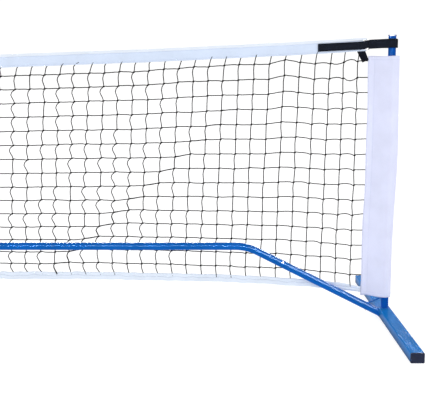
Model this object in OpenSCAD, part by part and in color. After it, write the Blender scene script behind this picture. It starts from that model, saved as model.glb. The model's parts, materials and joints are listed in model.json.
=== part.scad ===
// Portable pickleball net: a knock-down frame of steel tube on three feet, and the net
// that it carries. X runs along the net, Y from front to back and Z up. The origin is on
// the floor under the middle of the net. One end is drawn, and used twice.

/* [Net] */
// Distance between the axes of the two posts
post_span = 6730; // [6700:10:6760]
// Height of the top tape's upper edge at its ends
end_h = 925; // [915:1:930]
// Height of the top tape's upper edge at the middle
middle_h = 864; // [855:1:870]
// How far the top edge hangs below a straight line between an end and the middle
sag = 33; // [10:1:40]
// Height of the top tape
top_tape_h = 42; // [38:1:50]
// Height of the bottom tape
bottom_tape_h = 25; // [20:1:30]
// Height of the net's lower edge at its ends
low_end_h = 80; // [75:1:90]
// Height of the net's lower edge away from the ends
low_h = 128; // [110:1:150]
// Thickness of the panel that stands for the knotted cords
mesh_t = 1.2; // [0.8:0.1:2]
// Thickness of a folded tape
tape_t = 3; // [2.5:0.1:3]
// How far the net's middle plane lies behind the rails' axis
net_y = 15; // [15:0.1:16]

/* [Frame tube] */
// Outside diameter of the posts, rails and legs
tube_d = 25; // [24.6:0.1:25]
// Wall of the tube
tube_wall = 1.3; // [1.1:0.1:1.5]
// Length of the reduced end that plugs into the next tube
spigot_len = 50; // [45:1:52]
// Clearance all round between a reduced end and the tube that it plugs into
plug_gap = 0.1; // [0.05:0.01:0.1]

/* [Feet] */
// Length of an end foot
foot_len = 940; // [800:10:1000]
// Length of the middle foot
middle_foot_len = 460; // [400:10:600]
// Width of a foot
foot_w = 40; // [38:1:42]
// Height of a foot
foot_h = 30; // [28:1:32]
// Wall of a foot's tube
foot_wall = 2; // [1.5:0.1:2.5]
// Outside radius of a foot's long edges
foot_r = 3; // [3:0.5:4]
// Thickness of a foot cap's rim
cap_rim = 3; // [2:0.5:5]

/* [Posts] */
// Height of a post, with its cap
post_h = 934; // [930:1:940]
// Height of the joint between a post's two tubes
post_joint_h = 430; // [380:5:460]
// Height of a post cap's rim
post_cap_h = 4; // [3:0.5:6]
// Diameter of a post cap's rim
post_cap_d = 27; // [26:0.5:28]
// Height of the point on the post that the brace runs up to
brace_h = 66; // [62:1:66]
// Diameter of the brace
brace_d = 5; // [4:0.5:6]

/* [Rails] */
// Height of the rails' axis
rail_h = 241; // [240:1:243]
// Angle of the sloping tubes above the floor
slope = 26.87; // [26.5:0.01:27]
// Radius of the bend, at the tube's axis
bend_r = 160; // [140:5:170]
// Distance inwards from the post's axis to the point where the two straights would meet
bend_u = 465; // [463:1:467]
// Distance inwards to the seam between the stub and the sloping tube
stub_seam_u = 73; // [70:1:76]
// Distance inwards to the seam between the sloping tube and the bent tube
riser_seam_u = 372; // [365:1:378]
// Distance inwards to the seam between the bent tube and the first rail
rail_seam_u = 1440; // [1400:10:1500]
// Distance inwards to the seam between the two rails
second_seam_u = 2400; // [2300:10:2500]
// Length of the straight coupler at the middle, without its reduced ends
coupler_len = 160; // [140:10:200]

/* [Snap buttons] */
// Diameter of a button
button_d = 7.5; // [7:0.1:8]
// How far a button stands out of its tube
button_proud = 3.5; // [3:0.1:4]
// Clearance all round between a button and its holes
button_gap = 0.05; // [0.04:0.01:0.1]
// Distance from a seam to the button that locks it
button_back = 27; // [24:1:30]
// The same distance at the stub's seam
stub_button_back = 16; // [14:1:30]
// Angle of the front buttons above the horizontal
button_lift = 32; // [0:1:45]

/* [Middle support] */
// Height of the top of the socket that holds the middle pole
socket_h = 318; // [300:1:340]
// Height of the top of the middle pole, with its cap
pole_h = 853; // [850:1:854]
// Width of the fabric pocket that the pole's top stands in
pocket_w = 76; // [60:1:90]
// Height of the pocket
pocket_h = 70; // [50:1:90]

/* [Sleeves and straps] */
// Distance inwards from the post's axis to the sleeve's inner edge
sleeve_u = 80; // [78:1:84]
// Height of the sleeve's lower edge
sleeve_low = 70; // [69:1:74]
// Height of the sleeve's upper edge
sleeve_high = 867; // [850:1:875]
// Outside radius of the sleeve round the post
sleeve_r = 20; // [19:0.5:21]
// How far the sleeve's round part lies outwards of the post's axis
sleeve_out = 3; // [0:0.5:4]
// Thickness of the sleeve's fabric
sleeve_t = 1.2; // [0.8:0.1:1.4]
// Width of the webbing
strap_w = 25; // [24:1:28]
// Thickness of the webbing
strap_t = 1.5; // [1.2:0.1:1.5]
// Height of the middle of the strap where it goes round the post
strap_h = 908; // [904:1:909]
// Distance inwards to the sewn end of the strap
strap_end_u = 237; // [220:1:260]

/* [Hidden] */
$fn = 64;
half_span = post_span / 2;
tube_r = tube_d / 2;
bore_r = tube_r - tube_wall;
spigot_r = bore_r - plug_gap;
spigot_bore_r = spigot_r - tube_wall;
shoulder = 1.5;                       // length of the step between a tube and its spigot
slope_base_h = rail_h - bend_u * tan(slope);
bend_tangent = bend_r * tan(slope / 2);
bend_s = bend_u / cos(slope);         // the same point, measured up the slope
grip_len = 1;                         // a faint ring where a bend starts and ends
grip_r = 0.05;
edge_steps = 24;                      // straight pieces in each half of a curved edge
low_reach = 352;                      // how quickly the lower edge levels out
face_gap = 0.1;                       // between faces that only rest on each other
tape_front_y = net_y - tape_t / 2;
tape_back_y = net_y + tape_t / 2;

button_r = button_d / 2;
button_dome_r = 5.2;
button_top = tube_r + button_proud;
flange_r = 5.2;
flange_t = 1;
flange_top = sqrt(pow(spigot_bore_r, 2) - pow(flange_r, 2)) - face_gap;
front_face = 270 - button_lift;
underside = 0;

leaf_t = 0.8;
leaf_w = 6;
leaf_pad = 4;                         // half the flat under the button
leaf_len = 30;                        // from the button to the bend of the V
pad_mid = flange_top - flange_t - face_gap - leaf_t / 2;
leaf_low = 8.4;                       // the other leg rests against the far wall

buckle_w = 20;
buckle_h = 31;
buckle_t = 2;
buckle_bar = 3;
buckle_y = 11.3;
buckle_u = 81;
loop_r = tube_r + 0.4;
loop_t = 2.2;
loop_h = 28;
loop_tip_u = 66;
loop_tip_y = 10.3;

// ---- Places. An end is drawn with u along +X, measured inwards from its post's axis ----

module right() { translate([half_span, 0, 0]) mirror([1, 0, 0]) children(); }
module left() { translate([-half_span, 0, 0]) children(); }

// Puts +Z along the sloping tubes, at distance s up the slope from the post's axis
module on_slope(s) {
    translate([s * cos(slope), 0, slope_base_h + s * sin(slope)])
        rotate([0, 90 - slope, 0]) children();
}

// Puts +Z inwards along the level rails
module on_rail(u) { translate([u, 0, rail_h]) rotate([0, 90, 0]) children(); }

// Puts +Z out of the tube's side, at an angle round the tube
module out_of_tube(angle) { rotate([0, 0, angle]) rotate([0, 90, 0]) children(); }

function slope_s(u) = u / cos(slope);

// ---- Shapes that repeat ----

module rounded_rect(w, h, r) {
    square([w - 2 * r, h], center = true);
    square([w, h - 2 * r], center = true);
    for (x = [-1, 1], y = [-1, 1])
        translate([x * (w / 2 - r), y * (h / 2 - r)]) circle(r);
}

// A tube from z = 0 upwards, with its reduced end below z = 0
module plug_tube(length, wide_bore = true) {
    difference() {
        union() {
            cylinder(h = length, r = tube_r);
            translate([0, 0, -spigot_len]) cylinder(h = spigot_len + shoulder, r = spigot_r);
        }
        translate([0, 0, -spigot_len - 1])
            cylinder(h = spigot_len + length + 2, r = spigot_bore_r);
        if (wide_bore)
            translate([0, 0, shoulder]) cylinder(h = length, r = bore_r);
    }
}

module button_hole(angle) {
    out_of_tube(angle) cylinder(h = tube_r + 2, r = button_r + button_gap);
}

module snap_button() {
    intersection() {
        translate([0, 0, flange_top - flange_t])
            cylinder(h = button_top - flange_top + flange_t, r = button_r);
        translate([0, 0, button_top - button_dome_r])
            sphere(button_dome_r);
    }
    translate([0, 0, flange_top - flange_t])
        cylinder(h = button_top - button_dome_r - flange_top + flange_t, r = button_r);
    translate([0, 0, flange_top - flange_t]) cylinder(h = flange_t, r = flange_r);
}

module strip(from, to, t) {
    run = to - from;
    translate(from) rotate(atan2(run.y, run.x)) translate([0, -t / 2])
        square([norm(run), t]);
}

// A V of spring strip inside the tube: radius along X, the tube's axis along Z
module v_spring() {
    bend = [0, leaf_len];
    rotate([90, 0, 0]) linear_extrude(leaf_w, center = true) {
        strip([pad_mid, -leaf_pad], [pad_mid, leaf_pad], leaf_t);
        strip([pad_mid, leaf_pad], bend, leaf_t);
        strip([-leaf_low, -leaf_pad], bend, leaf_t);
        translate([pad_mid, leaf_pad]) circle(leaf_t / 2);
        translate(bend) circle(1);
    }
}

// The outline of a loop of fabric: a circle of radius r at the post and a tip at [u, y]
module teardrop(r, tip) {
    reach = norm(tip);
    heading = atan2(tip.y, tip.x);
    spread = acos(r / reach);
    circle(r);
    polygon([
        r * [cos(heading - spread), sin(heading - spread)], tip,
        r * [cos(heading + spread), sin(heading + spread)], [0, 0]
    ]);
}

// ---- The net's edges ----

function top_edge(u) = let (t = (u - sleeve_u) / (half_span - sleeve_u))
    end_h + (middle_h - end_h) * t - 4 * sag * t * (1 - t);
function low_edge(u) = low_h - (low_h - low_end_h) * exp(-(u - sleeve_u) / low_reach);

// Points from the left end of the net to the right end, for one of the two edges
function along(edge, lift) = [
    for (i = [-edge_steps:edge_steps])
        let (x = (half_span - sleeve_u) * i / edge_steps, u = half_span - abs(x))
        [x, (edge == "top" ? top_edge(u) : low_edge(u)) + lift]
];
function backwards(points) = [for (i = [len(points) - 1:-1:0]) points[i]];

module band(y, t, upper, lower) {
    translate([0, y + t / 2, 0]) rotate([90, 0, 0])
        linear_extrude(t) polygon(concat(upper, backwards(lower)));
}

module top_tape() {
    color("#d8e4f8") band(net_y, tape_t, along("top", 0), along("top", -top_tape_h));
}

module bottom_tape() {
    color("#e6ecfa") band(net_y, tape_t, along("low", bottom_tape_h), along("low", 0));
}

module net_mesh() {
    color("#3c3c40")
        band(net_y, mesh_t, along("top", -top_tape_h), along("low", bottom_tape_h));
}

// ---- Feet ----

module foot_tube(length) {
    tube_len = length - 2 * cap_rim;
    translate([0, tube_len / 2, foot_h / 2]) rotate([90, 0, 0]) difference() {
        linear_extrude(tube_len) rounded_rect(foot_w, foot_h, foot_r);
        translate([0, 0, -1]) linear_extrude(tube_len + 2)
            rounded_rect(foot_w - 2 * foot_wall, foot_h - 2 * foot_wall, foot_r - foot_wall);
    }
}

module foot_end_caps(length) {
    plug_len = 18;
    plug_play = 0.2;
    plug_cut = 2 * (foot_wall + plug_play);
    for (end = [0, 180]) rotate(end)
        translate([0, length / 2, foot_h / 2]) rotate([90, 0, 0]) {
            linear_extrude(cap_rim) rounded_rect(foot_w, foot_h, foot_r);
            linear_extrude(cap_rim + plug_len)
                rounded_rect(foot_w - plug_cut, foot_h - plug_cut, foot_r - foot_wall);
        }
}

module foot() { color("#4f86c9") foot_tube(foot_len); }
module foot_caps() { color("#2f3346") foot_end_caps(foot_len); }

// ---- Posts ----

module post_lower() {
    color("#1f5fb4") translate([0, 0, post_joint_h]) mirror([0, 0, 1])
        plug_tube(post_joint_h - foot_h);
}

module post_upper() {
    top = post_h - post_cap_h;
    color("#2760be") translate([0, 0, post_joint_h]) difference() {
        cylinder(h = top - post_joint_h, r = tube_r);
        translate([0, 0, -1]) cylinder(h = top - post_joint_h + 2, r = bore_r);
    }
}

module post_cap() {
    plug_len = 14;
    top = post_h - post_cap_h;
    color("#1c3f80") {
        translate([0, 0, top]) cylinder(h = post_cap_h, d = post_cap_d);
        translate([0, 0, top - plug_len]) cylinder(h = plug_len, r = bore_r - plug_gap);
    }
}

// A round rod welded across the corner between the post and the stub
module brace() {
    toe_u = 55;
    toe_h = slope_base_h + toe_u * tan(slope) + tube_r / cos(slope);
    rise = atan2(brace_h - toe_h, toe_u - tube_r);
    length = (toe_u - tube_r) / cos(rise);
    overrun = 8;                      // cut off again where the rod meets the two tubes
    color("#1d57a6") difference() {
        translate([toe_u, 0, toe_h]) rotate([0, rise - 90, 0]) translate([0, 0, -overrun])
            cylinder(h = length + 2 * overrun, d = brace_d);
        translate([0, 0, foot_h - 1]) cylinder(h = brace_h, r = tube_r);
        on_slope(0) cylinder(h = slope_s(toe_u) + 3 * tube_r, r = tube_r);
    }
}

// ---- Sloping tubes, bend and rails ----

module stub() {
    start = slope_s(5);               // inside the foot, where the tube is cut off flat
    seam = slope_s(stub_seam_u);
    color("#1f5fb4") difference() {
        on_slope(start) difference() {
            cylinder(h = seam - start, r = tube_r);
            translate([0, 0, -1]) cylinder(h = seam - start + 2, r = bore_r);
            translate([0, 0, seam - start - stub_button_back]) button_hole(underside);
        }
        translate([foot_w / 2 - 100, -50, -50]) cube([100, 100, 100]);
    }
}

module riser() {
    start = slope_s(stub_seam_u);
    length = slope_s(riser_seam_u) - start;
    color("#155eab") on_slope(start) difference() {
        plug_tube(length);
        translate([0, 0, -stub_button_back]) button_hole(underside);
        translate([0, 0, length - button_back]) button_hole(front_face);
    }
}

// The bent tube's solid shape, with a straight below the bend and a level one after it
module bent_rod(r, below, after) {
    translate([bend_u + bend_tangent, 0, rail_h - bend_r]) {
        rotate([90, 0, 0]) rotate([0, 0, 90])
            rotate_extrude(angle = slope) translate([bend_r, 0]) circle(r);
        for (side = [[0, 90, after], [-slope, -90, below]])
            rotate([0, side[0], 0]) translate([0, 0, bend_r]) rotate([0, side[1], 0]) {
                cylinder(h = side[2], r = r);
                translate([0, 0, -grip_len / 2]) cylinder(h = grip_len, r = r + grip_r);
            }
    }
}

module elbow() {
    start = slope_s(riser_seam_u);
    below = bend_s - bend_tangent - start;
    after = rail_seam_u - bend_u - bend_tangent;
    color("#155eab") difference() {
        union() {
            bent_rod(tube_r, below, after);
            on_slope(start - spigot_len) cylinder(h = spigot_len + shoulder, r = spigot_r);
        }
        bent_rod(bore_r, below - shoulder, after + 1);
        on_slope(start - spigot_len - 1)
            cylinder(h = spigot_len + shoulder + 2, r = spigot_bore_r);
        on_slope(start - button_back) button_hole(front_face);
        on_rail(rail_seam_u - button_back) button_hole(front_face);
    }
}

module rail(from_u, to_u) {
    color("#155eab") on_rail(from_u) difference() {
        plug_tube(to_u - from_u);
        translate([0, 0, -button_back]) button_hole(front_face);
        translate([0, 0, to_u - from_u - button_back]) button_hole(front_face);
    }
}

module rail_outer() { rail(rail_seam_u, second_seam_u); }
module rail_inner() { rail(second_seam_u, half_span - coupler_len / 2); }

// ---- Snap buttons ----

module at_stub_button() {
    on_slope(slope_s(stub_seam_u) - stub_button_back) rotate(underside) children();
}
module at_riser_button() { on_slope(slope_s(riser_seam_u) - button_back) rotate(front_face) children(); }
module at_rail_button(seam_u) { on_rail(seam_u - button_back) rotate(front_face) children(); }

module button() { color("#d8dade") rotate([0, 90, 0]) snap_button(); }

module stub_button() { at_stub_button() button(); }
module riser_button() { at_riser_button() button(); }
module elbow_button() { at_rail_button(rail_seam_u) button(); }
module rail_button() { at_rail_button(second_seam_u) button(); }
module coupler_button() { at_rail_button(half_span - coupler_len / 2) button(); }

module button_springs() {
    color("#9aa0a8") {
        at_stub_button() v_spring();
        at_riser_button() v_spring();
        at_rail_button(rail_seam_u) v_spring();
        at_rail_button(second_seam_u) v_spring();
        at_rail_button(half_span - coupler_len / 2) v_spring();
    }
}

// ---- Sleeve, strap and buckle ----

module sleeve() {
    seam_u = 62;                      // the front and back layers are sewn together here
    flat_t = 2 * sleeve_t;
    color("#dce4fb") translate([0, 0, sleeve_low]) linear_extrude(sleeve_high - sleeve_low)
        difference() {
            union() {
                translate([-sleeve_out, 0]) teardrop(sleeve_r, [seam_u + sleeve_out, net_y]);
                translate([seam_u - 8, net_y - flat_t / 2])
                    square([sleeve_u - seam_u + 8, flat_t]);
            }
            translate([-sleeve_out, 0])
                teardrop(sleeve_r - sleeve_t, [seam_u - 10 + sleeve_out, net_y]);
        }
}

// The webbing is sewn to the front of the top tape. It goes through the buckle, round the
// post and back, and its free end hangs behind the tape.
module strap() {
    run_u = 103;                      // the strap lies flat on the tape from here inwards
    front_y = loop_tip_y - strap_t / 2;
    lift = tape_front_y - face_gap - strap_t - front_y;
    rear_y = tape_back_y + 0.5;
    rear_low = 892;
    rear_u = 70;
    turn_u = 65;
    sewn_low = 6;                     // the sewn run starts this far below the loop
    sewn_drop = 8;                    // and its end lies this much lower still
    sewn_slope = atan(sewn_drop / (strap_end_u - loop_tip_u));
    free_end = [[121, 910], [100, 910], [73, 843], [94, 843]];
    color("#2a2c40") {
        translate([0, 0, strap_h - loop_h / 2]) linear_extrude(loop_h) difference() {
            teardrop(loop_r + loop_t, [loop_tip_u, loop_tip_y]);
            teardrop(loop_r, [loop_tip_u - 8, loop_tip_y]);
        }
        translate([loop_tip_u - 2, 0, strap_h - strap_w / 2 - sewn_low]) rotate([0, sewn_slope, 0])
            translate([2 - loop_tip_u, 0, 0]) linear_extrude(strap_w) polygon([
                [loop_tip_u - 2, front_y], [run_u - 8, front_y],
                [run_u, front_y + lift], [strap_end_u, front_y + lift],
                [strap_end_u, front_y + lift + strap_t], [run_u - 1, front_y + lift + strap_t],
                [run_u - 9, front_y + strap_t], [loop_tip_u - 2, front_y + strap_t]
            ]);
        translate([0, 0, rear_low]) linear_extrude(strap_w)
            strip([turn_u - 2, loop_tip_y - 1], [rear_u, rear_y + strap_t / 2], strap_t);
        translate([0, 0, rear_low]) linear_extrude(strap_w)
            translate([rear_u - 1, rear_y]) square([free_end[0].x - rear_u, strap_t]);
        translate([0, rear_y + strap_t, 0]) rotate([90, 0, 0]) linear_extrude(strap_t)
            polygon(free_end);
    }
}

module buckle() {
    slot_w = (buckle_w - 3 * buckle_bar) / 2;
    color("#1e2030") translate([buckle_u, buckle_y + buckle_t, strap_h - 5]) rotate([90, 0, 0])
        linear_extrude(buckle_t) difference() {
            rounded_rect(buckle_w, buckle_h, 2);
            for (side = [-1, 1]) translate([side * (slot_w + buckle_bar) / 2, 0])
                square([slot_w, strap_w + 0.6], center = true);
        }
}

// ---- Middle support ----

module middle_foot() { color("#4f86c9") foot_tube(middle_foot_len); }
module middle_foot_caps() { color("#2f3346") foot_end_caps(middle_foot_len); }

module upright(low, high, r, bore) {
    translate([0, 0, low]) difference() {
        cylinder(h = high - low, r = r);
        translate([0, 0, -1]) cylinder(h = high - low + 2, r = bore);
    }
}

module coupler_rod() {
    translate([-coupler_len / 2, 0, rail_h]) rotate([0, 90, 0])
        cylinder(h = coupler_len, r = tube_r);
}

module middle_leg() {
    color("#1f5fb4") difference() {
        upright(foot_h, rail_h, tube_r, bore_r);
        coupler_rod();
    }
}

module middle_coupler() {
    reach = coupler_len / 2 + spigot_len;
    color("#155eab") translate([0, 0, rail_h]) rotate([0, 90, 0]) difference() {
        union() {
            cylinder(h = coupler_len, r = tube_r, center = true);
            cylinder(h = 2 * reach, r = spigot_r, center = true);
        }
        cylinder(h = 2 * reach + 2, r = spigot_bore_r, center = true);
        for (side = [-1, 1]) translate([0, 0, side * (coupler_len / 2 + button_back)])
            button_hole(front_face);
    }
}

module middle_socket() {
    color("#1f5fb4") difference() {
        upright(rail_h, socket_h, tube_r, bore_r);
        coupler_rod();
    }
}

module middle_pole() {
    color("#2760be") upright(rail_h + tube_r, pole_h - post_cap_h, spigot_r, spigot_bore_r);
}

module middle_pole_cap() {
    plug_len = 14;
    top = pole_h - post_cap_h;
    color("#1c3f80") {
        translate([0, 0, top]) cylinder(h = post_cap_h, r = spigot_r + 0.6);
        translate([0, 0, top - plug_len]) cylinder(h = plug_len, r = spigot_bore_r - plug_gap);
    }
}

// A pocket sewn to the front of the top tape, closed at its top
module middle_pocket() {
    top = pole_h + 3;
    fabric_t = 1.2;
    room = spigot_r + 1.6;
    back_y = tape_front_y - face_gap;
    color("#dce4fb") translate([0, 0, top - pocket_h]) difference() {
        linear_extrude(pocket_h) {
            circle(room + fabric_t);
            translate([-pocket_w / 2, back_y - 2 * fabric_t]) square([pocket_w, 2 * fabric_t]);
            translate([-room - fabric_t, 0]) square([2 * (room + fabric_t), back_y]);
        }
        translate([0, 0, -1]) linear_extrude(pocket_h - fabric_t + 1) {
            circle(room);
            translate([-room, 0]) square([2 * room, back_y - fabric_t]);
        }
        // the round part never reaches the tape
        translate([-pocket_w, back_y, -1]) cube([2 * pocket_w, 20, pocket_h + 2]);
    }
}

right() foot();  // foot_right
right() foot_caps();  // foot_caps_right
right() post_lower();  // post_lower_right
right() post_upper();  // post_upper_right
right() post_cap();  // post_cap_right
right() brace();  // brace_right
right() stub();  // stub_right
right() riser();  // riser_right
right() elbow();  // elbow_right
right() rail_outer();  // rail_outer_right
right() rail_inner();  // rail_inner_right
right() stub_button();  // stub_button_right
right() riser_button();  // riser_button_right
right() elbow_button();  // elbow_button_right
right() rail_button();  // rail_button_right
right() coupler_button();  // coupler_button_right
right() button_springs();  // button_springs_right
right() sleeve();  // sleeve_right
right() strap();  // strap_right
right() buckle();  // buckle_right
left() foot();  // foot_left
left() foot_caps();  // foot_caps_left
left() post_lower();  // post_lower_left
left() post_upper();  // post_upper_left
left() post_cap();  // post_cap_left
left() brace();  // brace_left
left() stub();  // stub_left
left() riser();  // riser_left
left() elbow();  // elbow_left
left() rail_outer();  // rail_outer_left
left() rail_inner();  // rail_inner_left
left() stub_button();  // stub_button_left
left() riser_button();  // riser_button_left
left() elbow_button();  // elbow_button_left
left() rail_button();  // rail_button_left
left() coupler_button();  // coupler_button_left
left() button_springs();  // button_springs_left
left() sleeve();  // sleeve_left
left() strap();  // strap_left
left() buckle();  // buckle_left
middle_foot();
middle_foot_caps();
middle_leg();
middle_coupler();
middle_socket();
middle_pole();
middle_pole_cap();
middle_pocket();
net_mesh();
top_tape();
bottom_tape();
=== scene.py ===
"""The looks of a pickleball portable net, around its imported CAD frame.

Metres. X runs along the net, Y from front to back and Z up. An end of the net is built in
(u, y, z), where u is measured inwards from that end's post, and then placed on either side.
"""

import json
import math

import bpy
import numpy as np
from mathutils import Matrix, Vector


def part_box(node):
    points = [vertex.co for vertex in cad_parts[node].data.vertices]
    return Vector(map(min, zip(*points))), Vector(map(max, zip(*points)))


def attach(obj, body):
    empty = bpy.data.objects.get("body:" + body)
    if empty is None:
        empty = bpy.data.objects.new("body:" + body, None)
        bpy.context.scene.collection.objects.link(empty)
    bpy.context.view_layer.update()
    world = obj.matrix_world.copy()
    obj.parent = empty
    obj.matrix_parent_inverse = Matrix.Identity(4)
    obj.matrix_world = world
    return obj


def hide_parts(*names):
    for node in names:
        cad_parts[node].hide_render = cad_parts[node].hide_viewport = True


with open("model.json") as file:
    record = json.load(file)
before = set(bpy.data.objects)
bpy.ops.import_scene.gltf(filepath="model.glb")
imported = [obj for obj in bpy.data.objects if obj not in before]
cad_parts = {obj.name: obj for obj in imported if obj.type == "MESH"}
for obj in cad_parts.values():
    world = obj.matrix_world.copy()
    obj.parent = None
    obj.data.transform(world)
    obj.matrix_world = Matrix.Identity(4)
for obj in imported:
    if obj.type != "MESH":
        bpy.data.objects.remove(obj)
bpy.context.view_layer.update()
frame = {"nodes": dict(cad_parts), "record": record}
MM = 0.001
SIDES = (("right", 1), ("left", -1))


# ---- Places, read from the frame ----


def middle(node):
    """The middle of a CAD node's box."""
    low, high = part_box(node)
    return (low + high) / 2


def size(node):
    """The three sides of a CAD node's box."""
    low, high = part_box(node)
    return high - low


def cad_edge(node, highest):
    """The upper or lower edge of a CAD band of the net: its X stations and their heights."""
    points = np.array([v.co for v in frame["nodes"][node].data.vertices], float)
    stations = np.unique(np.round(points[:, 0], 4))
    pick = np.max if highest else np.min
    heights = [pick(points[np.abs(points[:, 0] - x) < 1e-3, 2]) for x in stations]
    return stations, np.array(heights)


def smooth_height(edge, x):
    """Heights on a smooth curve through an edge's stations."""
    stations, heights = edge
    slopes = np.gradient(heights, stations)
    i = np.clip(np.searchsorted(stations, x) - 1, 0, len(stations) - 2)
    gap = stations[i + 1] - stations[i]
    t = np.clip((x - stations[i]) / gap, 0, 1)
    rise = t * t * (3 - 2 * t)
    bend_in, bend_out = t * (1 - t) ** 2 * gap * slopes[i], t * t * (t - 1) * gap * slopes[i + 1]
    return heights[i] + (heights[i + 1] - heights[i]) * rise + bend_in + bend_out


post_x = middle("post_lower_right").x
tube_r = size("post_lower_right").x / 2
foot_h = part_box("foot_right")[1].z
foot_half_w = size("foot_right").x / 2
rail_h = middle("rail_outer_right").z
net_y = middle("net_mesh").y
sleeve_low, sleeve_high = (corner.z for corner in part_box("sleeve_right"))
sleeve_u = post_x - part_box("sleeve_right")[0].x
strap_end_u = post_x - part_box("strap_right")[0].x
strap_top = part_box("strap_right")[1].z
top_edge, top_low_edge = cad_edge("top_tape", True), cad_edge("top_tape", False)
low_edge, low_top_edge = cad_edge("bottom_tape", False), cad_edge("bottom_tape", True)
BEND_U, SLOPE = 465 * MM, math.radians(26.87)  # where slope and level would meet, and the slope


def frame_z(u):
    """Height of the sloping and level tubes' axis."""
    return rail_h - np.maximum(BEND_U - u, 0) * math.tan(SLOPE)


# ---- Mesh building ----


def add_piece(name, points, faces, material, uv=None, smooth=True, body="root"):
    """A mesh object that rides on a CAD body. uv has one (x, y) per point, in metres."""
    mesh = bpy.data.meshes.new(name)
    mesh.from_pydata(np.asarray(points, float).tolist(), [], faces)
    mesh.polygons.foreach_set("use_smooth", [smooth] * len(mesh.polygons))
    if uv is not None:
        corners = np.empty(len(mesh.loops), np.int32)
        mesh.loops.foreach_get("vertex_index", corners)
        layer = mesh.uv_layers.new(name="Cloth")
        layer.data.foreach_set("uv", np.asarray(uv, np.float32)[corners].ravel())
    mesh.materials.append(material)
    piece = bpy.data.objects.new(name, mesh)
    bpy.context.scene.collection.objects.link(piece)
    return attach(piece, body)


def on_side(points, side):
    """Points given as (u, y, z) at one end of the net, as (x, y, z)."""
    placed = np.array(points, float)
    placed[..., 0] = side * (post_x - placed[..., 0])
    return placed


def outward(faces, side):
    """Faces built in (u, y, z), turned so that they look outwards on either side."""
    return faces if side < 0 else [face[::-1] for face in faces]


def grid_faces(rows, columns, wrap=False, start=0):
    """Quads over a grid of points, closed round each row if wrap is set."""
    across = columns if wrap else columns - 1
    r, c = np.meshgrid(np.arange(rows - 1), np.arange(across), indexing="ij")
    d = (c + 1) % columns
    here, above = r * columns, (r + 1) * columns
    quads = np.stack([here + c, here + d, above + d, above + c], -1)
    return (quads.reshape(-1, 4) + start).tolist()


def unit(vectors):
    """The vectors, each made one metre long."""
    return vectors / np.maximum(np.linalg.norm(vectors, axis=-1, keepdims=True), 1e-12)


def tubes(paths, radius, sides=5):
    """Round tubes along paths [tube, point, xyz]. radius is one number or one per point."""
    count, length = paths.shape[:2]
    tangent = unit(np.gradient(paths, axis=1))
    normal = np.empty_like(paths)
    turned = np.tile(np.array([0.0, 1.0, 0.0]), (count, 1)) + 0.01
    for i in range(length):
        turned = unit(turned - (turned * tangent[:, i]).sum(-1, keepdims=True) * tangent[:, i])
        normal[:, i] = turned
    across = np.cross(tangent, normal)
    angle = np.arange(sides) * 2 * math.pi / sides
    r = np.broadcast_to(np.asarray(radius, float), (count, length))[..., None, None]
    ring = normal[:, :, None] * np.cos(angle)[:, None] + across[:, :, None] * np.sin(angle)[:, None]
    points = paths[:, :, None] + r * ring
    along = np.concatenate(
        [np.zeros((count, 1)), np.linalg.norm(np.diff(paths, axis=1), axis=-1).cumsum(1)], 1)
    round_it = np.arange(sides) / sides
    uv = np.stack(np.broadcast_arrays(along[..., None], round_it), -1)
    faces = []
    for tube in range(count):
        start = tube * length * sides
        faces += grid_faces(length, sides, wrap=True, start=start)
        faces.append(list(range(start + sides - 1, start - 1, -1)))
        faces.append(list(range(start + (length - 1) * sides, start + length * sides)))
    return points.reshape(-1, 3), faces, uv.reshape(-1, 2)


def cloth(grid, thickness):
    """A closed sheet of cloth whose middle is a grid of points [row, column, xyz]."""
    rows, columns = grid.shape[:2]
    normal = unit(np.cross(np.gradient(grid, axis=0), np.gradient(grid, axis=1)))
    half = normal * thickness / 2
    points = np.concatenate([(grid + half).reshape(-1, 3), (grid - half).reshape(-1, 3)])
    count = rows * columns
    faces = grid_faces(rows, columns)
    faces += [[i + count for i in face[::-1]] for face in faces]
    r, c = np.arange(rows), np.arange(columns)
    rim = np.concatenate([c[:-1], r[:-1] * columns + columns - 1,
                          (rows - 1) * columns + c[:0:-1], r[:0:-1] * columns])
    faces += [[a, a + count, b + count, b] for a, b in zip(rim, np.roll(rim, -1))]
    down = np.linalg.norm(np.diff(grid, axis=0), axis=-1).mean(1)
    across = np.linalg.norm(np.diff(grid, axis=1), axis=-1).mean(0)
    v, w = np.append(0, down.cumsum()), np.append(0, across.cumsum())
    uv = np.stack(np.meshgrid(w, v), -1).reshape(-1, 2)
    return points, [[int(i) for i in face] for face in faces], np.concatenate([uv, uv])


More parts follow.
